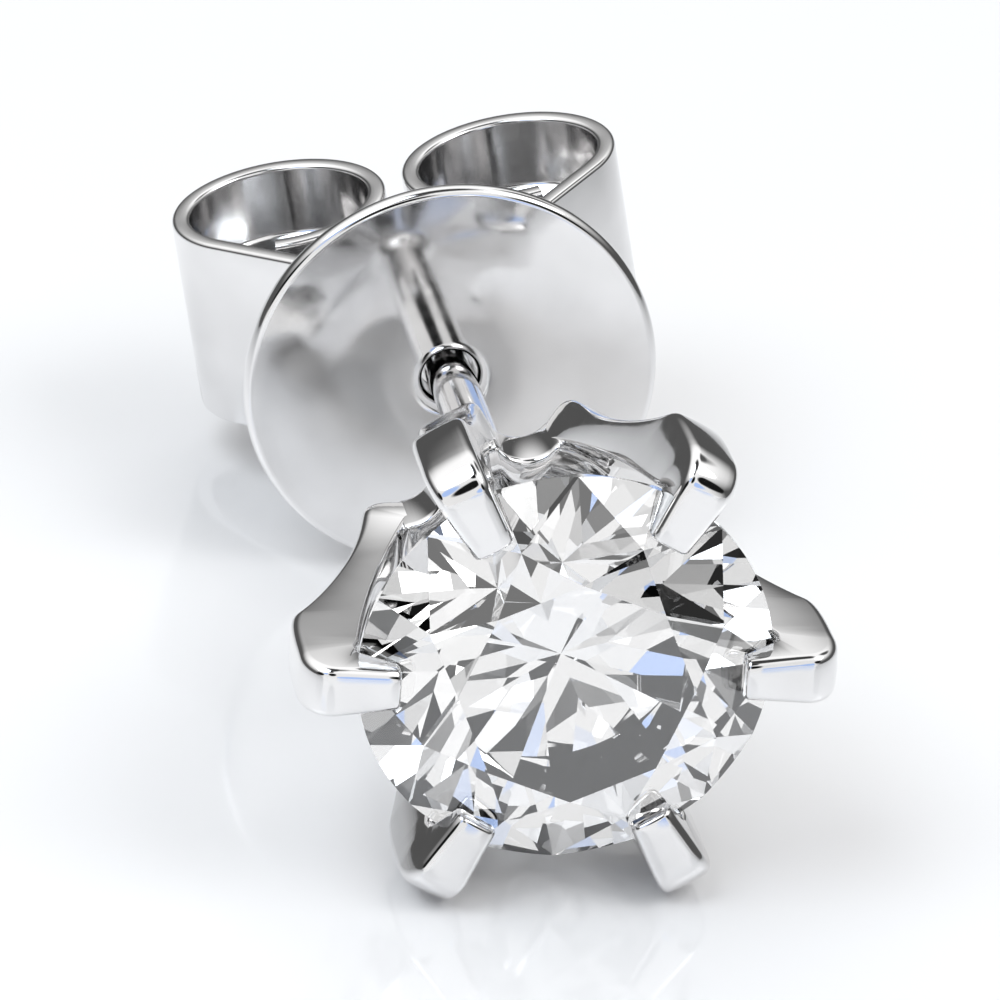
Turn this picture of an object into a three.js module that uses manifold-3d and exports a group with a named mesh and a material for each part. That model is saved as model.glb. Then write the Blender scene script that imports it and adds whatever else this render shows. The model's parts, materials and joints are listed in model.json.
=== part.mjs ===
// A white gold ear stud: a six-prong head with a round brilliant, its post, and a push-on back.
// Millimetres, +Z up. The stud lies on a table, on its two lower prongs and the edge of its back disc.
// Each piece is shaped round its own axis, with z forward through the stone and 0 at the girdle.
// The group at the end lays that axis down along Y, with the stone facing -Y.

import * as THREE from "three";
import { mergeVertices } from "three/addons/utils/BufferGeometryUtils.js";
import Module from "manifold-3d";

const wasm = await Module();
wasm.setup();

// Stone: a round brilliant of 57 facets
const stoneDiameter = 6.0;
const tableDiameter = 3.42;
const crownHeight = 0.87;
const pavilionDepth = 2.55;
const girdleThickness = 0.12;
const starShare = 0.5;
const lowerHalfShare = 0.78;

// Prongs
const prongCount = 6;
const prongWidth = 0.84;
const tipWidth = 0.68;
const shaftThickness = 0.44;
const knuckleReach = 0.87;
const knuckleRound = 0.45;
const knuckleRise = 0.58;
const kneeDrop = 1.1;
const kneeInset = 0.13;
const tipReach = 0.45;
const tipHeight = 0.72;
const tipCamber = 0.02;
const rootRadius = 2.18;
const rootThickening = 0.12;
const heelRound = 0.3;
const footRadius = 0.6;
const seatGap = 0.04;
const seatHold = 0.03;
const seatDrop = 0.1;

// How the back of a prong bends: its two handles, as shares of its flare and of its rise
const shaftBend = { rootOut: 0.12, rootUp: 0.3, kneeIn: 0.5, kneeDown: 0.27 };

// Cup under the stone
const cupDepth = 4.5;
const cupRadius = 1.78;
const cupWall = 0.4;
const cupLip = 0.06;
const cupRim = 0.3;
const cupFlare = 0.25;
const plateThickness = 0.55;
const plateDome = 0.1;
const scallopRadius = 0.52;
const scallopFloor = 1.48;

// Post
const postDiameter = 0.7;
const postLength = 10.6;
const postFillet = 0.22;
const tipConeLength = 0.8;
const tipFlat = 0.12;
const grooveFromTip = 1.6;
const grooveWidth = 0.3;
const grooveDepth = 0.07;
const grooveFloor = 0.15;

// Back disc
const discDiameter = 6.2;
const discThickness = 0.3;
const discLip = 0.1;
const discFromCup = 5.0;
const boreClearance = 0.07;
const mouthRound = 0.2;
const collarWall = 0.12;
const collarLength = 0.42;

// Scroll clip
const clipTurn = THREE.MathUtils.degToRad(11.5);
const stripHeight = 3.06;
const stripThickness = 0.27;
const stripGap = 0.04;
const flatHalf = 0.4;
const bendReach = 0.22;
const scrollGap = 0.28;
const scrollWidth = 3.25;
const scrollDepth = 2.9;
const clipDepth = 5.05;
const tailGap = 0.07;

// The groove pressed round each scroll, in which the post runs
const pressMargin = 0.08;
const pressSlope = 0.18;
const pressStart = THREE.MathUtils.degToRad(14);
const pressStop = THREE.MathUtils.degToRad(236);
const pressFade = THREE.MathUtils.degToRad(18);

// Fineness of the round shapes, and how far a cutter stands past what it cuts
const roundSides = 64;
const thinSides = 24;
const curveSteps = 10;
const cornerSteps = 5;
const cutOver = 0.2;
const turnStep = THREE.MathUtils.degToRad(0.25);

const stoneRadius = stoneDiameter / 2;
const tableRadius = tableDiameter / 2;
const girdleHalf = girdleThickness / 2;
const tableHeight = girdleHalf + crownHeight;
const crownSlope = crownHeight / (stoneRadius - tableRadius);
const pavilionSlope = pavilionDepth / stoneRadius;
const eighth = Math.PI / 4;
const quarterTurn = Math.PI / 2;
const tableFlat = tableRadius * Math.cos(eighth / 2);
const starRadius = tableFlat + starShare * (stoneRadius - tableFlat);
const starHeight = girdleHalf + (stoneRadius - starRadius * Math.cos(eighth / 2)) * crownSlope;
const prongStep = (2 * Math.PI) / prongCount;
const postRadius = postDiameter / 2;
const boreRadius = postRadius + boreClearance;
const discRadius = discDiameter / 2;
const cupBack = -cupDepth;
const cupFloor = cupBack + plateThickness;
const discFront = cupBack - discFromCup;
const discBack = discFront - discThickness;

// Joins and cuts

function solidFrom(geometry) {
  const bare = geometry.index ? geometry.toNonIndexed() : geometry.clone();
  bare.deleteAttribute("normal");
  bare.deleteAttribute("uv");
  const merged = mergeVertices(bare, 1e-4);
  return new wasm.Manifold(
    new wasm.Mesh({
      numProp: 3,
      vertProperties: new Float32Array(merged.attributes.position.array),
      triVerts: new Uint32Array(merged.index.array),
    }),
  );
}

function geometryFrom(solid) {
  const mesh = solid.getMesh();
  const geometry = new THREE.BufferGeometry();
  geometry.setAttribute("position", new THREE.BufferAttribute(mesh.vertProperties, 3));
  geometry.setIndex(new THREE.BufferAttribute(mesh.triVerts, 1));
  return geometry;
}

// A quarter turn in even steps, as pairs of cosine and sine
const quarter = [];
for (let i = 0; i <= cornerSteps; i += 1) {
  const turn = (i / cornerSteps) * quarterTurn;
  quarter.push([Math.cos(turn), Math.sin(turn)]);
}

// A profile of [radius, z] points turned round the z axis
function turned(profile, sides) {
  const points = profile.map(([radius, z]) => new THREE.Vector2(radius, z));
  const geometry = new THREE.LatheGeometry(points, sides);
  return solidFrom(geometry.rotateX(quarterTurn));
}

// A flat outline given its depth, half of it each way
function slab(points, depth) {
  const shape = new THREE.Shape(points);
  const geometry = new THREE.ExtrudeGeometry(shape, { depth, bevelEnabled: false });
  return geometry.translate(0, 0, -depth / 2);
}

// Stone

function brilliant() {
  const places = [];
  const triangles = [];
  const add = (radius, turn, z) => {
    places.push(radius * Math.cos(turn), radius * Math.sin(turn), z);
    return places.length / 3 - 1;
  };
  const half = eighth / 2;
  const lowRadius = stoneRadius * (1 - lowerHalfShare);
  const lowHeight = -girdleHalf - (stoneRadius - lowRadius * Math.cos(half)) * pavilionSlope;

  const tableCentre = add(0, 0, tableHeight);
  const culet = add(0, 0, -girdleHalf - pavilionDepth);
  const rings = [];
  for (let i = 0; i < 8; i += 1) {
    const turn = i * eighth;
    rings.push({
      table: add(tableRadius, turn, tableHeight),
      star: add(starRadius, turn + half, starHeight),
      upper: add(stoneRadius, turn, girdleHalf),
      upperHalf: add(stoneRadius, turn + half, girdleHalf),
      lower: add(stoneRadius, turn, -girdleHalf),
      lowerHalf: add(stoneRadius, turn + half, -girdleHalf),
      low: add(lowRadius, turn + half, lowHeight),
    });
  }
  rings.forEach((here, i) => {
    const next = rings[(i + 1) % 8];
    triangles.push(
      [tableCentre, here.table, next.table],
      [here.table, here.star, next.table],
      [here.table, here.upper, here.star],
      [here.star, next.upper, next.table],
      [here.upper, here.upperHalf, here.star],
      [here.star, here.upperHalf, next.upper],
      [here.upper, here.lower, here.lowerHalf],
      [here.upper, here.lowerHalf, here.upperHalf],
      [here.upperHalf, here.lowerHalf, next.lower],
      [here.upperHalf, next.lower, next.upper],
      [here.lower, here.low, here.lowerHalf],
      [here.lowerHalf, here.low, next.lower],
      [here.lower, culet, here.low],
      [here.low, culet, next.lower],
    );
  });
  const geometry = new THREE.BufferGeometry();
  geometry.setAttribute("position", new THREE.Float32BufferAttribute(places, 3));
  geometry.setIndex(triangles.flat());
  return geometry;
}

// Setting

// The side view of a prong in [radius, z]: out along its back, over the knuckle and back down inside
function prongProfile() {
  const knuckle = stoneRadius + knuckleReach;
  const shoulder = knuckle - knuckleRound;
  const tipRadius = stoneRadius - tipReach;
  const rim = stoneRadius + seatGap;
  const upperSlope = (starHeight - girdleHalf) / (stoneRadius - starRadius);

  const root = new THREE.Vector2(rootRadius, cupBack);
  const knee = new THREE.Vector2(knuckle - kneeInset, -kneeDrop);
  const flare = knee.x - root.x;
  const rise = knee.y - root.y;
  const lowHandle = new THREE.Vector2(
    root.x + shaftBend.rootOut * flare,
    root.y + shaftBend.rootUp * rise,
  );
  const highHandle = new THREE.Vector2(
    knee.x - shaftBend.kneeIn * flare,
    knee.y - shaftBend.kneeDown * rise,
  );
  const back = new THREE.CubicBezierCurve(root, lowHandle, highHandle, knee);

  const kneeSlope = (knee.y - highHandle.y) / (knee.x - highHandle.x);
  const overKnee = new THREE.QuadraticBezierCurve(
    knee,
    new THREE.Vector2(knuckle, knee.y + kneeInset * kneeSlope),
    new THREE.Vector2(knuckle, tipHeight - knuckleRise),
  );
  const overKnuckle = quarter.map(
    ([cos, sin]) =>
      new THREE.Vector2(shoulder + knuckleRound * cos, tipHeight - knuckleRise * (1 - sin)),
  );
  const tip = [
    new THREE.Vector2(tipRadius, tipHeight - tipCamber),
    new THREE.Vector2(tipRadius, girdleHalf + seatGap + (rim - tipRadius) * upperSlope),
    new THREE.Vector2(rim, girdleHalf + seatGap),
    new THREE.Vector2(rim, -girdleHalf - seatGap),
  ];
  const inward = new THREE.Vector2(shaftThickness, 0);
  const inside = new THREE.CubicBezierCurve(
    new THREE.Vector2(stoneRadius - seatHold, -girdleHalf - seatDrop),
    highHandle.clone().sub(inward),
    lowHandle.clone().sub(inward),
    new THREE.Vector2(rootRadius - shaftThickness - rootThickening, cupFloor),
  );
  const foot = [
    new THREE.Vector2(footRadius, cupFloor),
    new THREE.Vector2(footRadius, cupBack),
  ];
  const backPoints = back.getPoints(curveSteps);
  const heel = new THREE.QuadraticBezierCurve(
    new THREE.Vector2(rootRadius - heelRound, cupBack),
    root,
    backPoints[1],
  );
  return [
    ...heel.getPoints(cornerSteps),
    ...backPoints.slice(2),
    ...overKnee.getPoints(cornerSteps).slice(1, -1),
    ...overKnuckle,
    ...tip,
    ...inside.getPoints(curveSteps),
    ...foot,
  ];
}

// One prong, whose tip narrows from the knuckle to its end over the stone
function prong(turn) {
  const geometry = slab(prongProfile(), prongWidth);
  const places = geometry.attributes.position;
  const shoulder = stoneRadius + knuckleReach - knuckleRound;
  const tipRadius = stoneRadius - tipReach;
  for (let i = 0; i < places.count; i += 1) {
    const share = (shoulder - places.getX(i)) / (shoulder - tipRadius);
    if (places.getY(i) > 0 && share > 0) {
      const width = THREE.MathUtils.lerp(prongWidth, tipWidth, share);
      places.setZ(i, places.getZ(i) * (width / prongWidth));
    }
  }
  const place = new THREE.Matrix4().makeBasis(
    new THREE.Vector3(Math.cos(turn), Math.sin(turn), 0),
    new THREE.Vector3(0, 0, 1),
    new THREE.Vector3(Math.sin(turn), -Math.cos(turn), 0),
  );
  return solidFrom(geometry.applyMatrix4(place));
}

function cup() {
  const rim = cupFloor + cupRim;
  const edge = cupRadius - cupLip;
  const profile = [];
  for (let i = 0; i <= cornerSteps; i += 1) {
    const share = i / cornerSteps;
    profile.push([edge * share, cupBack - plateDome * (1 - share * share)]);
  }
  profile.push(
    [cupRadius, cupBack + cupLip],
    [cupRadius, rim],
    [cupRadius - cupWall, rim],
    [cupRadius - cupWall - cupFlare, cupFloor],
    [0, cupFloor],
  );
  let whole = turned(profile, roundSides);
  for (let i = 0; i < prongCount; i += 1) {
    const turn = (i + 0.5) * prongStep;
    const away = scallopFloor + scallopRadius;
    const height = 2 * (plateThickness + cupRim + cutOver);
    const cutter = new THREE.CylinderGeometry(scallopRadius, scallopRadius, height, thinSides);
    cutter.rotateX(quarterTurn);
    cutter.translate(away * Math.cos(turn), away * Math.sin(turn), cupBack);
    whole = whole.subtract(solidFrom(cutter));
  }
  return whole;
}

// The post, from its bullet tip over the groove and out in a fillet to the back of the cup
function post() {
  const end = cupBack - postLength;
  const groove = end + grooveFromTip;
  const neck = postRadius - grooveDepth;
  const slope = (grooveWidth - grooveFloor) / 2;
  const start = cupBack - plateDome;
  const inCup = cupBack + plateThickness / 2;
  const bullet = quarter.map(([cos, sin]) => [
    tipFlat + (postRadius - tipFlat) * sin,
    end + tipConeLength * (1 - cos),
  ]);
  const fillet = quarter.map(([cos, sin]) => [
    postRadius + postFillet * (1 - cos),
    start - postFillet * (1 - sin),
  ]);
  const profile = [
    [0, end],
    ...bullet,
    [postRadius, groove],
    [neck, groove + slope],
    [neck, groove + grooveWidth - slope],
    [postRadius, groove + grooveWidth],
    ...fillet,
    [postRadius + postFillet, inCup],
    [0, inCup],
  ];
  return turned(profile, thinSides);
}

function setting() {
  let whole = cup().add(post());
  for (let i = 0; i < prongCount; i += 1) {
    whole = whole.add(prong(i * prongStep));
  }
  return whole;
}

// Back disc: a flat plate with a round lip, whose bore is rolled back into a short collar
function disc() {
  const collar = boreRadius + collarWall;
  const middle = (discFront + discBack) / 2;
  const rim = discRadius - discLip;
  const backLip = quarter.map(([cos, sin]) => [
    rim + discLip * sin,
    middle - (discThickness / 2) * cos,
  ]);
  const frontLip = quarter.map(([cos, sin]) => [
    rim + discLip * cos,
    middle + (discThickness / 2) * sin,
  ]);
  const mouth = quarter.map(([cos, sin]) => [
    boreRadius + mouthRound * (1 - sin),
    discFront - mouthRound * (1 - cos),
  ]);
  const profile = [
    [collar, discBack - collarLength],
    [collar, discBack],
    ...backLip,
    ...frontLip.slice(1),
    ...mouth,
    [boreRadius, discBack - collarLength],
    [collar, discBack - collarLength],
  ];
  return turned(profile, roundSides);
}

// Scroll clip: one strip, flat on the disc, with an arm each side that curls back beside the post

// Half of the strip, seen from above: x outward, y away from the disc, along its outer side
function stripRun() {
  const across = scrollWidth / 2;
  const along = scrollDepth / 2;
  const centre = new THREE.Vector2(scrollGap / 2 + across, clipDepth - along);
  const bend = new THREE.Vector2(flatHalf, stripGap);
  const scaled = new THREE.Vector2((bend.x - centre.x) / across, (bend.y - centre.y) / along);
  const touch = scaled.angle() - 2 * Math.PI + Math.acos(1 / scaled.length());
  const onScroll = (turn) =>
    new THREE.Vector2(centre.x + across * Math.cos(turn), centre.y + along * Math.sin(turn));
  const touchPoint = onScroll(touch);
  const armWay = touchPoint.clone().sub(bend).normalize();

  // The scroll goes on until its end is next to the arm
  let stop = Math.PI;
  let fromArm = Infinity;
  while (fromArm > stripThickness + tailGap) {
    stop += turnStep;
    const end = onScroll(stop).sub(bend);
    fromArm = armWay.x * end.y - armWay.y * end.x;
  }

  const run = new THREE.Path();
  run.moveTo(0, bend.y);
  run.lineTo(bend.x - bendReach, bend.y);
  run.quadraticCurveTo(
    bend.x,
    bend.y,
    bend.x + armWay.x * bendReach,
    bend.y + armWay.y * bendReach,
  );
  run.lineTo(touchPoint.x, touchPoint.y);
  run.absellipse(centre.x, centre.y, across, along, touch, stop, false, 0);
  return { run, centre, across, along };
}

// How much of the groove's depth is pressed in at a place on a scroll
function pressedShare({ centre, across, along }, place) {
  const turn = new THREE.Vector2(
    (place.x - centre.x) / across,
    (place.y - centre.y) / along,
  ).angle();
  const fromEnd = Math.min(turn - pressStart, pressStop - turn);
  return THREE.MathUtils.smoothstep(fromEnd, 0, pressFade);
}

// Places all along the strip, with the way to its inner side and the share of the groove
function stripStations() {
  const half = stripRun();
  const points = half.run.getPoints(curveSteps * 3);
  const outer = points.filter((p, i) => i === 0 || p.distanceTo(points[i - 1]) > 1e-3);
  const stations = outer.map((place, i) => {
    const before = outer[Math.max(i - 1, 0)];
    const after = outer[Math.min(i + 1, outer.length - 1)];
    const along = after.clone().sub(before).normalize();
    const way = new THREE.Vector2(-along.y, along.x);
    return { place, way, pressed: pressedShare(half, place) };
  });
  const mirrored = stations.slice(1).map(({ place, way, pressed }) => ({
    place: new THREE.Vector2(-place.x, place.y),
    way: new THREE.Vector2(-way.x, way.y),
    pressed,
  }));
  return [...mirrored.reverse(), ...stations];
}

// The strip's section at each station goes down its outer side and down its inner side
function strip() {
  const pressDepth = postRadius + stripGap - scrollGap / 2;
  const edge = stripHeight / 2;
  const grooveEdge = postRadius + pressMargin;
  const floorEdge = grooveEdge - pressSlope;
  const levels = [
    [edge, 0],
    [grooveEdge, 0],
    [floorEdge, pressDepth],
    [-floorEdge, pressDepth],
    [-grooveEdge, 0],
    [-edge, 0],
  ];
  const stations = stripStations();
  const places = [];
  const triangles = [];
  for (const { place, way, pressed } of stations) {
    for (const inside of [0, stripThickness]) {
      for (const [height, depth] of levels) {
        const reach = inside + depth * pressed;
        places.push(place.x + way.x * reach, height, discBack - place.y - way.y * reach);
      }
    }
  }
  const quad = (a, b, c, d) => triangles.push(a, c, b, a, d, c);
  const side = levels.length;
  const section = 2 * side;
  const last = (stations.length - 1) * section;
  for (let k = 0; k < side - 1; k += 1) {
    quad(k, k + 1, side + k + 1, side + k);
    quad(last + k, last + side + k, last + side + k + 1, last + k + 1);
    for (let here = 0; here < last; here += section) {
      const next = here + section;
      quad(here + k, next + k, next + k + 1, here + k + 1);
      quad(here + side + k, here + side + k + 1, next + side + k + 1, next + side + k);
    }
  }
  for (let here = 0; here < last; here += section) {
    const next = here + section;
    quad(here, here + side, next + side, next);
    quad(here + side - 1, next + side - 1, next + section - 1, here + section - 1);
  }
  const geometry = new THREE.BufferGeometry();
  geometry.setAttribute("position", new THREE.Float32BufferAttribute(places, 3));
  geometry.setIndex(triangles);
  return geometry;
}

function clip() {
  const holeRadius = boreRadius + collarWall + stripGap;
  const holeLength = 2 * (collarLength + stripThickness + cutOver);
  const hole = new THREE.CylinderGeometry(holeRadius, holeRadius, holeLength, roundSides / 2);
  hole.rotateX(quarterTurn);
  hole.translate(0, 0, discBack);
  return solidFrom(strip()).subtract(solidFrom(hole));
}

// The pitch at which the lowest prongs and the disc's edge meet one table, and the height above it

function lowest(geometries, pitch) {
  let low = Infinity;
  for (const geometry of geometries) {
    const places = geometry.attributes.position;
    for (let i = 0; i < places.count; i += 1) {
      const height = places.getY(i) * Math.cos(pitch) + places.getZ(i) * Math.sin(pitch);
      low = Math.min(low, height);
    }
  }
  return low;
}

function restingPitch(head, back) {
  let under = -eighth;
  let over = eighth;
  for (let i = 0; i < 40; i += 1) {
    const pitch = (under + over) / 2;
    if (lowest(head, pitch) < lowest(back, pitch)) {
      under = pitch;
    } else {
      over = pitch;
    }
  }
  return (under + over) / 2;
}

function piece(name, geometry, look) {
  const mesh = new THREE.Mesh(geometry, new THREE.MeshStandardMaterial(look));
  mesh.name = name;
  return mesh;
}

const polishedGold = { color: 0xe4e5e8, roughness: 0.08, metalness: 1 };
const clearStone = { color: 0xf4f8ff, roughness: 0.0, metalness: 0 };

const settingGeometry = geometryFrom(setting());
const stoneGeometry = brilliant();
const discGeometry = geometryFrom(disc());
const clipGeometry = geometryFrom(clip());
clipGeometry.rotateZ(clipTurn);

const pitch = restingPitch([settingGeometry], [discGeometry, clipGeometry]);
const axisDown = new THREE.Group();
axisDown.rotation.x = quarterTurn - pitch;
axisDown.position.z = -lowest([settingGeometry, discGeometry, clipGeometry], pitch);
axisDown.add(
  piece("setting", settingGeometry, polishedGold),
  piece("stone", stoneGeometry, clearStone),
  piece("back_disc", discGeometry, polishedGold),
  piece("scroll_clip", clipGeometry, polishedGold),
);

// Its box is centred on the origin, with the table at z = 0
const earring = new THREE.Group();
earring.add(axisDown);
earring.updateMatrixWorld(true);
const box = new THREE.Box3().setFromObject(earring, true);
axisDown.position.x -= (box.min.x + box.max.x) / 2;
axisDown.position.y -= (box.min.y + box.max.y) / 2;

export default earring;
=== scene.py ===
import json
import math

import bmesh
import bpy
from mathutils import Matrix, Vector
from mathutils.kdtree import KDTree


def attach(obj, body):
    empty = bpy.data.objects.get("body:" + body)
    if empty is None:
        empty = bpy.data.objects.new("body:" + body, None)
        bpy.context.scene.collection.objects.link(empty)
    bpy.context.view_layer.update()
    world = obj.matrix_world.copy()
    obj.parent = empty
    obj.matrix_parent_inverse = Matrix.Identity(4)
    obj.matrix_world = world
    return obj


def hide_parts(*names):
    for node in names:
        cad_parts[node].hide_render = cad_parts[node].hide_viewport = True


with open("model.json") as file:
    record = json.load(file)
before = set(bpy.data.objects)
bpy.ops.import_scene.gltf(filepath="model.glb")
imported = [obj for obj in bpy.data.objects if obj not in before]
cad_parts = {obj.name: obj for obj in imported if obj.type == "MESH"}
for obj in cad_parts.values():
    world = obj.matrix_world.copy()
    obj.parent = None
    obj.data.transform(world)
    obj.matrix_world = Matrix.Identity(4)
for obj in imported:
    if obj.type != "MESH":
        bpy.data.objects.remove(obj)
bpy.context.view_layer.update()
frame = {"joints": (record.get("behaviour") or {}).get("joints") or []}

# The shapes are worked out in millimetres about the post's axis: x right and y up as seen by
# someone facing the stone, z forward out of its table, 0 at the girdle. toFrame takes them to metres.
joints = {joint["name"]: joint for joint in frame["joints"]}
forward = Vector(joints["clip_turn"]["axis"]).normalized()
right = Vector((1, 0, 0))
up = forward.cross(right).normalized()
millimetre = 0.001
cupBack = -4.5
cupFloor = -3.95
discFront = -9.5
discBack = -9.8
postRadius = 0.35
girdleMiddle = Vector(joints["clip_turn"]["pos_m"]) - forward * discBack * millimetre
toFrame = (
    Matrix.Translation(girdleMiddle)
    @ Matrix((right, up, forward)).transposed().to_4x4()
    @ Matrix.Scale(millimetre, 4)
)


# Runs of points

def bezierRun(handles, steps, start=0.0, stop=1.0):
    run = []
    for i in range(steps + 1):
        share = start + (stop - start) * i / steps
        points = [Vector(p) for p in handles]
        while len(points) > 1:
            points = [a.lerp(b, share) for a, b in zip(points, points[1:])]
        run.append(points[0])
    return run


def lineRun(a, b, steps):
    return [Vector(a).lerp(Vector(b), i / steps) for i in range(steps + 1)]


def arcRun(centre, radii, fromTurn, toTurn, steps):
    run = []
    for i in range(steps + 1):
        turn = math.radians(fromTurn + (toTurn - fromTurn) * i / steps)
        across, along = radii[0] * math.cos(turn), radii[1] * math.sin(turn)
        run.append(Vector((centre[0] + across, centre[1] + along)))
    return run


def roundedRun(corners, steps=5):
    # corners are (x, y, radius); a radius of 0 keeps the corner sharp
    places = [Vector(c[:2]) for c in corners]
    run = [places[0]]
    for i in range(1, len(corners) - 1):
        radius = corners[i][2]
        if radius == 0:
            run.append(places[i])
            continue
        back = (places[i - 1] - places[i]).normalized()
        ahead = (places[i + 1] - places[i]).normalized()
        half = back.angle(ahead) / 2
        centre = places[i] + (back + ahead).normalized() * radius / math.sin(half)
        start = places[i] + back * radius / math.tan(half) - centre
        stop = places[i] + ahead * radius / math.tan(half) - centre
        sweep = math.pi - 2 * half
        for k in range(steps + 1):
            share = k / steps
            run.append(
                centre
                + start * math.sin((1 - share) * sweep) / math.sin(sweep)
                + stop * math.sin(share * sweep) / math.sin(sweep)
            )
    run.append(places[-1])
    return run


# Meshes

# lengths in millimetres below which vertices merge, slivers dissolve and a cut takes a vertex as on it
doublesReach = 0.0004
sliverReach = 0.0001
cutReach = 0.00001


def stitched(rings, closed=True, caps=False):
    # rows of points of one length, joined by faces; caps fills the first and the last row
    points = [p for ring in rings for p in ring]
    across = len(rings[0])
    faces = []
    for r in range(len(rings) - 1):
        for i in range(across if closed else across - 1):
            j = (i + 1) % across
            faces.append((r * across + i, r * across + j, (r + 1) * across + j, (r + 1) * across + i))
    if caps:
        faces.append(tuple(range(across)))
        faces.append(tuple(range((len(rings) - 1) * across, len(rings) * across)))
    return points, faces


def turnedRings(profile, sides):
    # profile of (radius, z) turned round the axis
    rings = []
    for radius, z in profile:
        turns = [2 * math.pi * i / sides for i in range(sides)]
        rings.append([(radius * math.cos(t), radius * math.sin(t), z) for t in turns])
    return rings


def cleaned(mesh):
    builder = bmesh.new()
    builder.from_mesh(mesh)
    bmesh.ops.remove_doubles(builder, verts=builder.verts, dist=doublesReach)
    bmesh.ops.dissolve_degenerate(builder, edges=builder.edges, dist=sliverReach)
    bmesh.ops.recalc_face_normals(builder, faces=builder.faces)
    builder.to_mesh(mesh)
    builder.free()
    return mesh


def meshOf(name, points, faces):
    mesh = bpy.data.meshes.new(name)
    mesh.from_pydata([tuple(p) for p in points], [], faces)
    return cleaned(mesh)


def placed(name, data):
    thing = bpy.data.objects.new(name, data)
    bpy.context.scene.collection.objects.link(thing)
    return thing


def finishedPiece(name, mesh, materials, sharpAngle=35):
    # from millimetres about the axis to metres in the frame
    mesh.transform(toFrame)
    mesh.materials.clear()
    for material in materials:
        mesh.materials.append(material)
    mesh.shade_smooth()
    mesh.set_sharp_from_angle(angle=math.radians(sharpAngle))
    return placed(name, mesh)


# Geometry Nodes

def newTree(name, inputs):
    tree = bpy.data.node_groups.new(name, "GeometryNodeTree")
    tree.interface.new_socket("Geometry", in_out="INPUT", socket_type="NodeSocketGeometry")
    for label, kind in inputs:
        tree.interface.new_socket(label, in_out="INPUT", socket_type=kind)
    tree.interface.new_socket("Geometry", in_out="OUTPUT", socket_type="NodeSocketGeometry")
    return tree, tree.nodes.new("NodeGroupInput"), tree.nodes.new("NodeGroupOutput")


def treeEnd(tree, source, given, output):
    realize = tree.nodes.new("GeometryNodeRealizeInstances")
    setMaterial = tree.nodes.new("GeometryNodeSetMaterial")
    tree.links.new(source, realize.inputs["Geometry"])
    tree.links.new(realize.outputs["Geometry"], setMaterial.inputs["Geometry"])
    tree.links.new(given.outputs["Material"], setMaterial.inputs["Material"])
    tree.links.new(setMaterial.outputs["Geometry"], output.inputs["Geometry"])


def meshThrough(tree, source, values):
    # runs a source mesh through a tree and gives back a plain mesh
    carrier = placed("carrier", source)
    modifier = carrier.modifiers.new("Nodes", "NODES")
    modifier.node_group = tree
    for item in tree.interface.items_tree:
        if item.in_out == "INPUT" and item.name in values:
            modifier[item.identifier] = values[item.name]
    graph = bpy.context.evaluated_depsgraph_get()
    mesh = bpy.data.meshes.new_from_object(carrier.evaluated_get(graph), depsgraph=graph)
    carrier.modifiers.remove(modifier)
    bpy.data.objects.remove(carrier)
    return mesh


def ringTree():
    # copies a piece evenly round the axis
    tree, given, output = newTree(
        "Ring of copies", [("Count", "NodeSocketInt"), ("Material", "NodeSocketMaterial")]
    )
    nodes, links = tree.nodes, tree.links
    points = nodes.new("GeometryNodePoints")
    index = nodes.new("GeometryNodeInputIndex")
    step = nodes.new("ShaderNodeMath")
    step.operation = "DIVIDE"
    step.inputs[0].default_value = math.tau
    turn = nodes.new("ShaderNodeMath")
    turn.operation = "MULTIPLY"
    rotation = nodes.new("ShaderNodeCombineXYZ")
    copies = nodes.new("GeometryNodeInstanceOnPoints")
    links.new(given.outputs["Count"], points.inputs["Count"])
    links.new(given.outputs["Count"], step.inputs[1])
    links.new(index.outputs["Index"], turn.inputs[0])
    links.new(step.outputs["Value"], turn.inputs[1])
    links.new(turn.outputs["Value"], rotation.inputs["Z"])
    links.new(points.outputs["Points"], copies.inputs["Points"])
    links.new(given.outputs["Geometry"], copies.inputs["Instance"])
    links.new(rotation.outputs["Vector"], copies.inputs["Rotation"])
    treeEnd(tree, copies.outputs["Instances"], given, output)
    return tree


def stripTree():
    # sweeps a rounded strip along a line of edges
    tree, given, output = newTree(
        "Rounded strip",
        [
            ("Height", "NodeSocketFloat"),
            ("Thickness", "NodeSocketFloat"),
            ("Edge Radius", "NodeSocketFloat"),
            ("Edge Steps", "NodeSocketInt"),
            ("Material", "NodeSocketMaterial"),
        ],
    )
    nodes, links = tree.nodes, tree.links
    line = nodes.new("GeometryNodeMeshToCurve")
    upright = nodes.new("GeometryNodeSetCurveNormal")
    upright.mode = "Z_UP"
    section = nodes.new("GeometryNodeCurvePrimitiveQuadrilateral")
    corner = nodes.new("GeometryNodeFilletCurve")
    corner.mode = "POLY"
    sweep = nodes.new("GeometryNodeCurveToMesh")
    links.new(given.outputs["Geometry"], line.inputs["Mesh"])
    links.new(line.outputs["Curve"], upright.inputs["Curve"])
    links.new(given.outputs["Thickness"], section.inputs["Width"])
    links.new(given.outputs["Height"], section.inputs["Height"])
    links.new(section.outputs["Curve"], corner.inputs["Curve"])
    links.new(given.outputs["Edge Radius"], corner.inputs["Radius"])
    links.new(given.outputs["Edge Steps"], corner.inputs["Count"])
    links.new(upright.outputs["Curve"], sweep.inputs["Curve"])
    links.new(corner.outputs["Curve"], sweep.inputs["Profile Curve"])
    sweep.inputs["Fill Caps"].default_value = True
    treeEnd(tree, sweep.outputs["Mesh"], given, output)
    return tree


# Materials

def newMaterial(name):
    material = bpy.data.materials.new(name)
    material.use_nodes = True
    nodes, links = material.node_tree.nodes, material.node_tree.links
    return material, nodes, links, nodes["Principled BSDF"]


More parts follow.
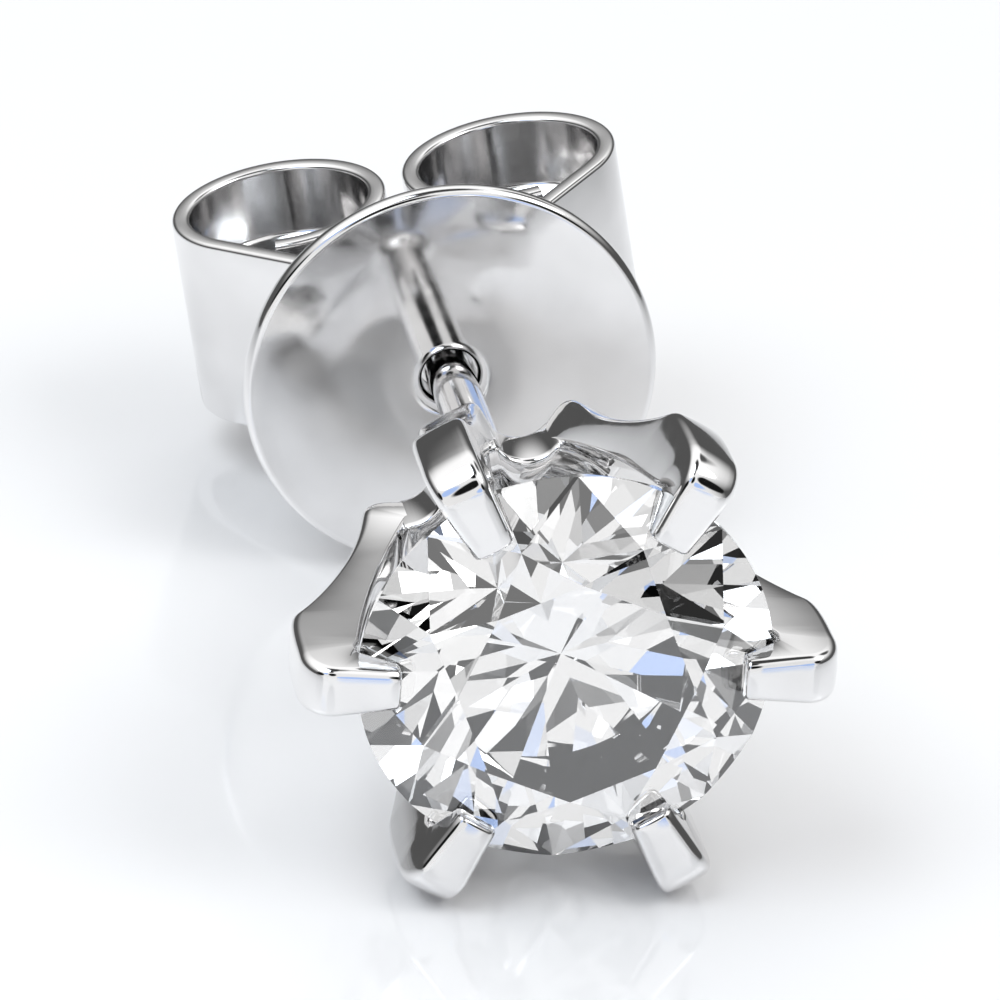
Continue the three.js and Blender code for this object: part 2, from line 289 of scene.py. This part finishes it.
def remapped(nodes, links, value, source, target=(0, 1), kind="LINEAR"):
    node = nodes.new("ShaderNodeMapRange")
    node.interpolation_type = kind
    node.inputs["From Min"].default_value, node.inputs["From Max"].default_value = source
    node.inputs["To Min"].default_value, node.inputs["To Max"].default_value = target
    links.new(value, node.inputs["Value"])
    return node.outputs["Result"]


# sizes and depths in millimetres
goldLook = {
    "colour": (0.82, 0.815, 0.815),
    "shade": (0.75, 0.745, 0.745),
    "cloudSize": 1.6,
    "cloudDetail": 3,
    "cloudRange": (0.3, 0.55),
    "roughness": (0.035, 0.085),
    "hazeSize": 0.3,
    "hazeDetail": 4,
    "hazeRange": (0.35, 0.7),
    "dentSize": 1.3,
    "dentDetail": 1.5,
    "dentDepth": 0.004,
    "scratchSize": 0.05,
    "scratchDetail": 2,
    "scratchStretch": (1, 6, 2),
    "scratchDepth": 0.00006,
}


def goldMaterial(name, roughen=0.0, dents=1.0):
    look = goldLook
    material, nodes, links, shader = newMaterial(name)
    shader.inputs["Metallic"].default_value = 1.0
    place = nodes.new("ShaderNodeTexCoord")

    def noise(size, detail, stretch=(1, 1, 1)):
        mapping = nodes.new("ShaderNodeMapping")
        mapping.inputs["Scale"].default_value = stretch
        texture = nodes.new("ShaderNodeTexNoise")
        texture.inputs["Scale"].default_value = 1 / (size * millimetre)
        texture.inputs["Detail"].default_value = detail
        links.new(place.outputs["Object"], mapping.inputs["Vector"])
        links.new(mapping.outputs["Vector"], texture.inputs["Vector"])
        return texture.outputs["Fac"]

    def bump(height, depth):
        node = nodes.new("ShaderNodeBump")
        node.inputs["Strength"].default_value = 1.0
        node.inputs["Distance"].default_value = depth * millimetre
        links.new(height, node.inputs["Height"])
        return node

    cloud = noise(look["cloudSize"], look["cloudDetail"])
    colour = nodes.new("ShaderNodeMix")
    colour.data_type = "RGBA"
    colour.inputs["A"].default_value = (*look["shade"], 1)
    colour.inputs["B"].default_value = (*look["colour"], 1)
    links.new(remapped(nodes, links, cloud, look["cloudRange"]), colour.inputs["Factor"])
    links.new(colour.outputs["Result"], shader.inputs["Base Color"])

    haze = noise(look["hazeSize"], look["hazeDetail"])
    roughness = [value + roughen for value in look["roughness"]]
    links.new(remapped(nodes, links, haze, look["hazeRange"], roughness), shader.inputs["Roughness"])

    dent = bump(noise(look["dentSize"], look["dentDetail"]), look["dentDepth"] * dents)
    fine = noise(look["scratchSize"], look["scratchDetail"], look["scratchStretch"])
    scratch = bump(fine, look["scratchDepth"])
    links.new(dent.outputs["Normal"], scratch.inputs["Normal"])
    links.new(scratch.outputs["Normal"], shader.inputs["Normal"])
    return material


diamondLook = {
    "colour": (1, 1, 1),
    "refraction": 2.417,
    "girdleColour": (0.95, 0.96, 0.98),
    "girdleRoughness": (0.25, 0.45),
    "grainSize": 0.04,
}


def clearMaterial(name, colour):
    material, nodes, links, shader = newMaterial(name)
    shader.inputs["Base Color"].default_value = (*colour, 1)
    shader.inputs["Transmission Weight"].default_value = 1.0
    shader.inputs["Roughness"].default_value = 0.0
    shader.inputs["IOR"].default_value = diamondLook["refraction"]
    return material, nodes, links, shader


def diamondMaterial():
    return clearMaterial("diamond", diamondLook["colour"])[0]


def girdleMaterial():
    # the ground edge of the stone, faintly grained
    look = diamondLook
    material, nodes, links, shader = clearMaterial("girdle", look["girdleColour"])
    place = nodes.new("ShaderNodeTexCoord")
    grain = nodes.new("ShaderNodeTexNoise")
    grain.inputs["Scale"].default_value = 1 / (look["grainSize"] * millimetre)
    links.new(place.outputs["Object"], grain.inputs["Vector"])
    frost = remapped(nodes, links, grain.outputs["Fac"], (0, 1), look["girdleRoughness"])
    links.new(frost, shader.inputs["Roughness"])
    return material


# Stone

stoneShape = {
    "radius": 3.0,
    "tableRadius": 1.71,
    "crownHeight": 0.87,
    "pavilionDepth": 2.55,
    "girdleThickness": 0.12,
    "mainFacets": 8,
    "starShare": 0.5,
    "lowerHalfShare": 0.78,
    "girdleSides": 192,
}


def buildStone(facetMaterial, edgeMaterial):
    shape = stoneShape
    radius = shape["radius"]
    girdle = shape["girdleThickness"] / 2
    tableHeight = girdle + shape["crownHeight"]
    culet = -girdle - shape["pavilionDepth"]
    step = math.tau / shape["mainFacets"]
    crownSlope = shape["crownHeight"] / (radius - shape["tableRadius"])
    pavilionSlope = shape["pavilionDepth"] / radius
    tableFlat = shape["tableRadius"] * math.cos(step / 2)
    starRadius = tableFlat + shape["starShare"] * (radius - tableFlat)
    starHeight = girdle + (radius - starRadius * math.cos(step / 2)) * crownSlope
    lowRadius = radius * (1 - shape["lowerHalfShare"])
    lowHeight = -girdle - (radius - lowRadius * math.cos(step / 2)) * pavilionSlope

    def at(distance, turn, height):
        return Vector((distance * math.cos(turn), distance * math.sin(turn), height))

    cuts = []
    for i in range(shape["mainFacets"]):
        turn = i * step
        half = turn + step / 2
        cuts.append((at(radius, turn, girdle), at(crownSlope, turn, 1)))
        cuts.append((at(radius, turn, -girdle), at(pavilionSlope, turn, -1)))
        table = at(shape["tableRadius"], turn, tableHeight)
        nextTable = at(shape["tableRadius"], turn + step, tableHeight)
        star = at(starRadius, half, starHeight)
        cuts.append((star, (nextTable - table).cross(star - table)))
        low = at(lowRadius, half, lowHeight)
        for end in (turn, turn + step):
            cuts.append((star, (at(radius, end, girdle) - star).cross(at(radius, half, girdle) - star)))
            cuts.append((low, (at(radius, end, -girdle) - low).cross(at(radius, half, -girdle) - low)))

    flatAngle = math.radians(0.3)
    uprightLimit = 0.02
    blank = turnedRings([(radius, culet), (radius, tableHeight)], shape["girdleSides"])
    mesh = meshOf("stone", *stitched(blank, caps=True))
    builder = bmesh.new()
    builder.from_mesh(mesh)
    for place, normal in cuts:
        outward = normal if normal.dot(place) > 0 else -normal
        kept = bmesh.ops.bisect_plane(
            builder,
            geom=[*builder.verts, *builder.edges, *builder.faces],
            plane_co=place,
            plane_no=outward,
            dist=cutReach,
            clear_outer=True,
        )
        rim = [e for e in kept["geom_cut"] if isinstance(e, bmesh.types.BMEdge)]
        bmesh.ops.contextual_create(builder, geom=[e for e in rim if e.is_boundary])
    bmesh.ops.remove_doubles(builder, verts=builder.verts, dist=doublesReach)
    bmesh.ops.dissolve_limit(
        builder, angle_limit=flatAngle, verts=builder.verts, edges=builder.edges
    )
    bmesh.ops.recalc_face_normals(builder, faces=builder.faces)
    for face in builder.faces:
        face.material_index = 1 if abs(face.normal.z) < uprightLimit else 0
    builder.to_mesh(mesh)
    builder.free()
    return finishedPiece("brilliant", mesh, [facetMaterial, edgeMaterial], sharpAngle=2.5)


# Head: prongs, cup and post

prongShape = {
    "count": 6,
    "rootWidth": 0.98,
    "width": 0.84,
    "tipWidth": 0.64,
    "rootFade": 2.2,
    "knuckleTaper": 0.35,
    "shaftThickness": 0.44,
    "footReach": 0.9,
    "footInset": 0.25,
    "rootRadius": 2.18,
    "rootThickening": 0.12,
    "heelRound": 0.3,
    "heelShare": 0.1,
    "knuckleRadius": 3.87,
    "knuckleRound": 0.45,
    "knuckleRise": 0.58,
    "kneeDrop": 1.1,
    "kneeInset": 0.13,
    "tipRadius": 2.55,
    "tipHeight": 0.72,
    "tipEndHeight": 0.36,
    "tipSlope": 0.02,
    "seatRadius": 3.03,
    "seatInset": 0.06,
    "seatHeights": (-0.16, -0.04, 0.1),
    "kneeShare": 0.8,
    "edgeRound": 0.13,
    "edgeShare": 0.45,
    "innerRound": 0.07,
    "innerShare": 0.3,
    "endRound": 0.07,
    "endShares": (0.35, 0.7, 1.0),
    "crown": 0.03,
    "bend": {"rootOut": 0.12, "rootUp": 0.3, "kneeIn": 0.5, "kneeDown": 0.27},
}


def prongSection(outer, inner, halfWidth, shrink=0.0):
    # a ring of points round a prong, between a point on its back and one inside it
    shape = prongShape
    thickness = (outer - inner).length
    way = (outer - inner) / thickness
    edge = min(shape["edgeRound"], shape["edgeShare"] * thickness)
    low = min(shape["innerRound"], shape["innerShare"] * thickness)
    ring = lineRun((-halfWidth + low, 0), (halfWidth - low, 0), 4)[1:-1]
    ring += arcRun((halfWidth - low, low), (low, low), -90, 0, 3)
    ring += arcRun((halfWidth - edge, thickness - edge), (edge, edge), 0, 90, 6)
    ring += lineRun((halfWidth - edge, thickness), (-halfWidth + edge, thickness), 6)[1:-1]
    ring += arcRun((-halfWidth + edge, thickness - edge), (edge, edge), 90, 180, 6)
    ring += arcRun((-halfWidth + low, low), (low, low), 180, 270, 3)
    placedRing = []
    for across, depth in ring:
        depth += shape["crown"] * (1 - (across / halfWidth) ** 2) * depth / thickness
        depth = thickness / 2 + (depth - thickness / 2) * (1 - 2 * shrink / thickness)
        across *= 1 - shrink / halfWidth
        point = inner + way * depth
        placedRing.append((point.x, across, point.y))
    return placedRing


def buildProngs(material):
    shape = prongShape
    bend = shape["bend"]
    knuckle = shape["knuckleRadius"]
    root = Vector((shape["rootRadius"], cupBack))
    knee = Vector((knuckle - shape["kneeInset"], -shape["kneeDrop"]))
    flare, rise = knee - root
    lowHandle = root + Vector((bend["rootOut"] * flare, bend["rootUp"] * rise))
    highHandle = knee - Vector((bend["kneeIn"] * flare, bend["kneeDown"] * rise))
    inward = Vector((shape["shaftThickness"], 0))
    backRun = bezierRun([root, lowHandle, highHandle, knee], 24, start=shape["heelShare"])
    heel = [root - Vector((shape["heelRound"], 0)), root, backRun[0]]
    kneeSlope = (knee.y - highHandle.y) / (knee.x - highHandle.x)
    shoulder = knuckle - shape["knuckleRound"]
    topOfKnee = shape["tipHeight"] - shape["knuckleRise"]
    insideRadius = shape["rootRadius"] - shape["shaftThickness"] - shape["rootThickening"]
    insideRoot = Vector((insideRadius, cupFloor))
    foot = Vector((insideRoot.x - shape["footInset"], cupFloor))
    seatLow, seatMid, seatHigh = shape["seatHeights"]
    seat = Vector((shape["seatRadius"] - shape["seatInset"], seatLow))
    seatMiddle = Vector((shape["seatRadius"], seatMid))
    seatTop = Vector((shape["seatRadius"], seatHigh))
    inside = [insideRoot, lowHandle - inward, highHandle - inward, seat]
    besideKnee = shape["kneeShare"]
    tipLow = Vector((shape["tipRadius"], shape["tipEndHeight"]))
    tipTop = Vector((shape["tipRadius"], shape["tipHeight"] - shape["tipSlope"]))
    kneeBend = [knee, (knuckle, knee.y + shape["kneeInset"] * kneeSlope), (knuckle, topOfKnee)]
    # six stretches of a prong, from the cup to the tip: its back, its inside and its half width
    outerRuns = [
        lineRun((shape["footReach"], cupBack), heel[0], 2),
        bezierRun(heel, 5)[1:],
        backRun[1:],
        bezierRun(kneeBend, 12)[1:],
        arcRun((shoulder, topOfKnee), (shape["knuckleRound"], shape["knuckleRise"]), 0, 90, 10)[1:],
        lineRun((shoulder, shape["tipHeight"]), tipTop, 5)[1:],
    ]
    innerRuns = [
        lineRun((shape["footReach"], cupFloor), foot, 2),
        lineRun(foot, insideRoot, 5)[1:],
        bezierRun(inside, 24, stop=besideKnee)[1:],
        bezierRun(inside, 10, start=besideKnee)[1:] + lineRun(seat, seatMiddle, 2)[1:],
        lineRun(seatMiddle, seatTop, 10)[1:],
        lineRun(seatTop, tipLow, 5)[1:],
    ]
    rootHalf, shaftHalf, tipHalf = (shape[k] / 2 for k in ("rootWidth", "width", "tipWidth"))
    fade, taper = shape["rootFade"], shape["knuckleTaper"]
    halfWidths = [
        lambda share: rootHalf,
        lambda share: rootHalf,
        lambda share: shaftHalf + (rootHalf - shaftHalf) * max(0, 1 - share * fade) ** 2,
        lambda share: shaftHalf,
        lambda share: shaftHalf + (tipHalf - shaftHalf) * taper * share,
        lambda share: shaftHalf + (tipHalf - shaftHalf) * (taper + (1 - taper) * share),
    ]
    sections = []
    for outers, inners, halfWidth in zip(outerRuns, innerRuns, halfWidths):
        for i, (outer, inner) in enumerate(zip(outers, inners)):
            sections.append((outer, inner, halfWidth((i + 1) / len(outers))))
    rings = [prongSection(*section) for section in sections]
    tipOuter, tipInner, tipHalfWidth = sections[-1]
    for share in shape["endShares"]:
        turn = share * math.pi / 2
        ahead = Vector((-shape["endRound"] * math.sin(turn), 0))
        shrink = shape["endRound"] * (1 - math.cos(turn))
        rings.append(prongSection(tipOuter + ahead, tipInner + ahead, tipHalfWidth, shrink))
    one = meshOf("prong", *stitched(rings, caps=True))
    mesh = meshThrough(ringTree(), one, {"Count": shape["count"], "Material": material})
    return finishedPiece("prongs", mesh, [material])


cupShape = {
    "radius": 1.78,
    "scallopRadius": 0.52,
    "scallopFloor": 1.48,
    "wall": 0.4,
    "rim": -3.65,
    "dome": 0.1,
    "edge": 0.09,
    "floorInset": 0.2,
    "floorRound": 0.12,
    "sides": 288,
}


def cupReach(turn):
    # how far the cup's edge is from the axis, scalloped halfway between the prongs
    shape = cupShape
    step = math.tau / prongShape["count"]
    off = (turn % step) - step / 2
    away = shape["scallopFloor"] + shape["scallopRadius"]
    side = away * abs(math.sin(off))
    if side >= shape["scallopRadius"]:
        return shape["radius"]
    scallop = away * math.cos(off) - math.sqrt(shape["scallopRadius"] ** 2 - side ** 2)
    return min(shape["radius"], scallop)


def buildCup(material):
    shape = cupShape
    rows = []
    for i in range(shape["sides"]):
        turn = math.tau * i / shape["sides"]
        reach = cupReach(turn)
        inner = reach - shape["wall"]
        bottom = lineRun((0, 0), (reach - 2 * shape["edge"], 0), 6)
        domed = [(p.x, cupBack - shape["dome"] * (1 - (p.x / reach) ** 2), 0) for p in bottom]
        profile = roundedRun(
            [
                *domed,
                (reach, cupBack, shape["edge"]),
                (reach, shape["rim"], shape["edge"]),
                (inner, shape["rim"], shape["edge"]),
                (inner - shape["floorInset"], cupFloor, shape["floorRound"]),
                (0, cupFloor, 0),
            ],
            steps=4,
        )
        rows.append([(p.x * math.cos(turn), p.x * math.sin(turn), p.y) for p in profile])
    rows.append(rows[0])
    mesh = meshOf("cup", *stitched(rows, closed=False))
    return finishedPiece("cup", mesh, [material])


postShape = {
    "length": 10.6,
    "rootInCup": 0.2,
    "fillet": 0.24,
    "coneLength": 0.8,
    "tipFlat": 0.12,
    "grooveFromTip": 1.6,
    "grooveWidth": 0.3,
    "grooveDepth": 0.07,
    "grooveEdge": 0.04,
    "sides": 64,
}


def buildPost(material):
    shape = postShape
    end = cupBack - shape["length"]
    flat = shape["tipFlat"]
    groove = end + shape["grooveFromTip"]
    neck = postRadius - shape["grooveDepth"]
    edge = shape["grooveEdge"]
    plate = cupBack - cupShape["dome"]
    root = cupBack + shape["rootInCup"]
    bulletRadii = (postRadius - flat, shape["coneLength"])
    bullet = arcRun((flat, end + shape["coneLength"]), bulletRadii, 270, 360, 12)
    waist = roundedRun(
        [
            (postRadius, bullet[-1].y, 0),
            (postRadius, groove, edge),
            (neck, groove + shape["grooveDepth"], edge),
            (neck, groove + shape["grooveWidth"] - shape["grooveDepth"], edge),
            (postRadius, groove + shape["grooveWidth"], edge),
            (postRadius, plate - shape["fillet"], 0),
        ],
        steps=4,
    )
    filletCentre = (postRadius + shape["fillet"], plate - shape["fillet"])
    fillet = arcRun(filletCentre, (shape["fillet"], shape["fillet"]), 180, 90, 8)
    profile = [(0, end), *bullet, *waist[1:], *fillet[1:], (fillet[-1].x, root), (0, root)]
    mesh = meshOf("post", *stitched(turnedRings(profile, shape["sides"])))
    return finishedPiece("post", mesh, [material])


# Back disc

discShape = {
    "radius": 3.1,
    "lip": 0.13,
    "bore": 0.42,
    "mouth": 0.2,
    "collarWall": 0.12,
    "collarLength": 0.42,
    "collarEdge": 0.05,
    "sides": 192,
}


def buildDisc(material):
    shape = discShape
    bore = shape["bore"]
    collar = bore + shape["collarWall"]
    collarEnd = discBack - shape["collarLength"]
    profile = roundedRun(
        [
            (bore, discBack, 0),
            (bore, collarEnd, shape["collarEdge"]),
            (collar, collarEnd, shape["collarEdge"]),
            (collar, discBack, shape["collarEdge"]),
            (shape["radius"], discBack, shape["lip"]),
            (shape["radius"], discFront, shape["lip"]),
            (bore, discFront, shape["mouth"]),
            (bore, discBack, 0),
        ],
        steps=8,
    )
    mesh = meshOf("disc", *stitched(turnedRings(profile, shape["sides"])))
    return finishedPiece("disc", mesh, [material])


# Scroll clip

clipShape = {
    "turn": 11.5,
    "height": 3.06,
    "thickness": 0.27,
    "gap": 0.04,
    "flatHalf": 0.4,
    "bendReach": 0.22,
    "scrollGap": 0.28,
    "scrollWidth": 3.25,
    "scrollDepth": 2.9,
    "depth": 5.05,
    "tailGap": 0.07,
    "edge": 0.07,
    "grooveEdge": 0.43,
    "grooveFloor": 0.25,
    "grooveSoftness": 0.04,
    "grooveStart": 14,
    "grooveStop": 236,
    "grooveFade": 18,
    "grooveLevels": 12,
    "holeRadius": 0.58,
    "holeSides": 64,
    "scrollSteps": 130,
}


def smoothShare(value):
    held = min(max(value, 0), 1)
    return held * held * (3 - 2 * held)


def clipRun():
    # one half of the strip, x away from the post and y away from the disc: the places on its
    # middle line, each with the way to its inner side and the share of the groove's depth
    shape = clipShape
    radii = Vector((shape["scrollWidth"], shape["scrollDepth"])) / 2
    centre = Vector((shape["scrollGap"] / 2 + radii.x, shape["depth"] - radii.y))
    bend = Vector((shape["flatHalf"], shape["gap"]))
    scaled = Vector(((bend.x - centre.x) / radii.x, (bend.y - centre.y) / radii.y))
    touch = math.degrees(math.atan2(scaled.y, scaled.x) + math.acos(1 / scaled.length))
    touchPoint = arcRun(centre, radii, touch, touch, 1)[0]
    armWay = (touchPoint - bend).normalized()
    armStart = bend + armWay * shape["bendReach"]
    # the scroll goes on past half a turn until its end is a small gap from the arm
    stop = 180
    tailStep = 0.25
    fromArm = math.inf
    while fromArm > shape["thickness"] + shape["tailGap"]:
        stop += tailStep
        fromArm = armWay.cross(arcRun(centre, radii, stop, stop, 1)[0] - bend)
    outer = lineRun((0, bend.y), (bend.x - shape["bendReach"], bend.y), 4)
    outer += bezierRun([outer[-1], bend, armStart], 8)[1:]
    outer += lineRun(armStart, touchPoint, 16)[1:]
    outer += arcRun(centre, radii, touch, stop, shape["scrollSteps"])[1:]
    stations = []
    for i, p in enumerate(outer):
        way = (outer[min(i + 1, len(outer) - 1)] - outer[max(i - 1, 0)]).normalized()
        inward = Vector((-way.y, way.x))
        turn = math.degrees(math.atan2((p.y - centre.y) / radii.y, (p.x - centre.x) / radii.x)) % 360
        fromEnd = min(turn - shape["grooveStart"], shape["grooveStop"] - turn)
        pressed = smoothShare(fromEnd / shape["grooveFade"])
        stations.append((p + inward * shape["thickness"] / 2, inward, pressed))
    return stations


def pressGroove(builder, stations):
    # pushes the strip inward at half its height, where the post runs between the scrolls
    shape = clipShape
    depth = postRadius + shape["gap"] - shape["scrollGap"] / 2
    high = shape["grooveEdge"] + shape["grooveSoftness"]
    low = shape["grooveFloor"] - shape["grooveSoftness"]
    levels = shape["grooveLevels"]
    for i in range(-levels, levels + 1):
        bmesh.ops.bisect_plane(
            builder,
            geom=[*builder.verts, *builder.edges, *builder.faces],
            plane_co=(0, 0, high * i / levels),
            plane_no=(0, 0, 1),
            dist=cutReach,
        )
    tree = KDTree(len(stations))
    for i, (place, inward, pressed) in enumerate(stations):
        tree.insert((place.x, -place.y, 0), i)
    tree.balance()
    for vertex in builder.verts:
        inGroove = smoothShare((high - abs(vertex.co.z)) / (high - low))
        if inGroove == 0:
            continue
        place, inward, pressed = stations[tree.find((vertex.co.x, vertex.co.y, 0))[1]]
        push = depth * pressed * inGroove
        vertex.co.x += inward.x * push
        vertex.co.y -= inward.y * push


def holed(mesh):
    # the hole round the disc's collar
    radius = clipShape["holeRadius"]
    reach = 2 * clipShape["thickness"]
    profile = [(0, reach), (radius, reach), (radius, -reach), (0, -reach)]
    rings = turnedRings(profile, clipShape["holeSides"])
    cutter = placed("cutter", meshOf("cutter", *stitched(rings)))
    cutter.rotation_euler = (math.pi / 2, 0, 0)
    carrier = placed("carrier", mesh)
    cut = carrier.modifiers.new("Hole", "BOOLEAN")
    cut.operation = "DIFFERENCE"
    cut.solver = "EXACT"
    cut.object = cutter
    graph = bpy.context.evaluated_depsgraph_get()
    result = bpy.data.meshes.new_from_object(carrier.evaluated_get(graph), depsgraph=graph)
    carrier.modifiers.remove(cut)
    bpy.data.objects.remove(carrier)
    bpy.data.objects.remove(cutter)
    return cleaned(result)


def buildClip(material):
    shape = clipShape
    half = clipRun()
    mirrored = [
        (Vector((-place.x, place.y)), Vector((-inward.x, inward.y)), pressed)
        for place, inward, pressed in reversed(half[1:])
    ]
    stations = mirrored + half
    line = bpy.data.meshes.new("strip line")
    places = [(place.x, -place.y, 0) for place, inward, pressed in stations]
    line.from_pydata(places, [(i, i + 1) for i in range(len(places) - 1)], [])
    mesh = meshThrough(
        stripTree(),
        line,
        {
            "Height": shape["height"],
            "Thickness": shape["thickness"],
            "Edge Radius": shape["edge"],
            "Edge Steps": 4,
            "Material": material,
        },
    )
    builder = bmesh.new()
    builder.from_mesh(mesh)
    pressGroove(builder, stations)
    bmesh.ops.recalc_face_normals(builder, faces=builder.faces)
    builder.to_mesh(mesh)
    builder.free()
    mesh = holed(mesh)
    # the sweep lies flat in x and y; stand its height up along the clip's own height
    standing = Matrix(((1, 0, 0, 0), (0, 0, 1, 0), (0, 1, 0, discBack), (0, 0, 0, 1)))
    mesh.transform(Matrix.Rotation(math.radians(shape["turn"]), 4, "Z") @ standing)
    mesh.flip_normals()
    return finishedPiece("scrolls", mesh, [material], sharpAngle=50)


# Stage

cameraView = {
    "azimuth": -11.85,
    "elevation": 28.35,
    "roll": 4.24,
    "distance": 204,
    "lens": 500,
    "clip": (0.01, 10),
    "target": (0.35, 0.0, 2.4),
}


def direction(azimuth, elevation):
    a, e = math.radians(azimuth), math.radians(elevation)
    return Vector((math.sin(a) * math.cos(e), -math.cos(a) * math.cos(e), math.sin(e)))


def buildCamera():
    view = cameraView
    data = bpy.data.cameras.new("camera")
    data.lens = view["lens"]
    data.clip_start, data.clip_end = view["clip"]
    camera = placed("camera", data)
    back = direction(view["azimuth"], view["elevation"])
    camera.location = (Vector(view["target"]) + back * view["distance"]) * millimetre
    aim = (-back).to_track_quat("-Z", "Y").to_matrix().to_4x4()
    roll = Matrix.Rotation(math.radians(view["roll"]), 4, "Z")
    camera.rotation_euler = (aim @ roll).to_euler()
    bpy.context.scene.camera = camera


# angles in degrees and lengths in millimetres; a card is a round patch of the surroundings
studio = {
    "wall": 0.1,
    "ceiling": 1.25,
    "wallTop": 12,
    "ceilingEdge": 48,
    "cards": [
        {"azimuth": -12, "elevation": 8, "reach": 46, "softness": 14, "colour": (1.0, 1.0, 1.0)},
        {"azimuth": -12, "elevation": 31, "reach": 14, "softness": 2, "colour": (0.01, 0.01, 0.01)},
        {"azimuth": 36, "elevation": 20, "reach": 13, "softness": 2, "colour": (0.01, 0.01, 0.01)},
        {"azimuth": -60, "elevation": 16, "reach": 13, "softness": 2, "colour": (0.01, 0.01, 0.01)},
        {"azimuth": -20, "elevation": 60, "reach": 8, "softness": 2, "colour": (0.01, 0.01, 0.01)},
        {"azimuth": -42, "elevation": 34, "reach": 9, "softness": 2, "colour": (0.5, 0.68, 1.1)},
        {"azimuth": 14, "elevation": 6, "reach": 8, "softness": 2, "colour": (0.5, 0.68, 1.1)},
        {"azimuth": -12, "elevation": 84, "reach": 18, "softness": 5, "colour": (0.06, 0.06, 0.06)},
        {"azimuth": 120, "elevation": 48, "reach": 11, "softness": 5, "colour": (0.1, 0.1, 0.1)},
    ],
    "lightDistance": 280,
    "lights": [
        {"azimuth": -70, "elevation": 60, "size": 200, "power": 0.27, "tint": (0.86, 0.93, 1)},
        {"azimuth": 60, "elevation": 50, "size": 150, "power": 0.15, "tint": (1, 1, 1)},
    ],
    "floor": (0.93, 0.93, 0.935),
    "floorRoughness": 0.08,
    "floorHalf": 70,
}


def buildWorld():
    world = bpy.data.worlds.new("studio")
    bpy.context.scene.world = world
    world.use_nodes = True
    nodes, links = world.node_tree.nodes, world.node_tree.links
    background = nodes["Background"]
    place = nodes.new("ShaderNodeTexCoord")
    height = nodes.new("ShaderNodeSeparateXYZ")
    links.new(place.outputs["Generated"], height.inputs["Vector"])
    rise = [math.sin(math.radians(studio[edge])) for edge in ("wallTop", "ceilingEdge")]
    shades = (studio["wall"], studio["ceiling"])
    light = remapped(nodes, links, height.outputs["Z"], rise, shades, "SMOOTHSTEP")
    for card in studio["cards"]:
        facing = nodes.new("ShaderNodeVectorMath")
        facing.operation = "DOT_PRODUCT"
        facing.inputs[1].default_value = direction(card["azimuth"], card["elevation"])
        links.new(place.outputs["Generated"], facing.inputs[0])
        angles = (card["reach"] + card["softness"], card["reach"] - card["softness"])
        edge = [math.cos(math.radians(angle)) for angle in angles]
        share = remapped(nodes, links, facing.outputs["Value"], edge, kind="SMOOTHSTEP")
        mixed = nodes.new("ShaderNodeMix")
        mixed.data_type = "RGBA"
        mixed.inputs["B"].default_value = (*card["colour"], 1)
        links.new(share, mixed.inputs["Factor"])
        links.new(light, mixed.inputs["A"])
        light = mixed.outputs["Result"]
    links.new(light, background.inputs["Color"])


def buildLights():
    for i, light in enumerate(studio["lights"]):
        data = bpy.data.lights.new(f"softbox{i}", "AREA")
        data.shape = "DISK"
        data.size = light["size"] * millimetre
        data.energy = light["power"]
        data.color = light["tint"]
        lamp = placed(f"softbox{i}", data)
        back = direction(light["azimuth"], light["elevation"])
        lamp.location = back * studio["lightDistance"] * millimetre
        lamp.rotation_euler = (-back).to_track_quat("-Z", "Y").to_euler()


def buildFloor():
    half = studio["floorHalf"] * millimetre
    mesh = bpy.data.meshes.new("floor")
    corners = [(-half, -half, 0), (half, -half, 0), (half, half, 0), (-half, half, 0)]
    mesh.from_pydata(corners, [], [(0, 1, 2, 3)])
    material, _, _, shader = newMaterial("glossy white")
    shader.inputs["Base Color"].default_value = (*studio["floor"], 1)
    shader.inputs["Roughness"].default_value = studio["floorRoughness"]
    mesh.materials.append(material)
    floor = placed("floor", mesh)


# The scene

scene = bpy.context.scene
scene.view_settings.view_transform = "Standard"
buildCamera()
buildWorld()
buildLights()
buildFloor()
print("stage ready")

polish = goldMaterial("polished white gold")
stone = buildStone(diamondMaterial(), girdleMaterial())
prongs = buildProngs(polish)
cup = buildCup(polish)
post = buildPost(polish)
disc = buildDisc(goldMaterial("polished white gold plate", roughen=0.03))
scrolls = buildClip(goldMaterial("polished white gold strip", roughen=0.09, dents=2.5))
print("pieces made")

for piece, body, slot in (
    (stone, "stud", "diamond"),
    (prongs, "stud", "white_gold"),
    (cup, "stud", "white_gold"),
    (post, "stud", "white_gold"),
    (disc, "disc", "white_gold"),
    (scrolls, "clip", "white_gold"),
):
    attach(piece, body)
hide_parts("stone")
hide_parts("setting")
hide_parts("back_disc")
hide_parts("scroll_clip")
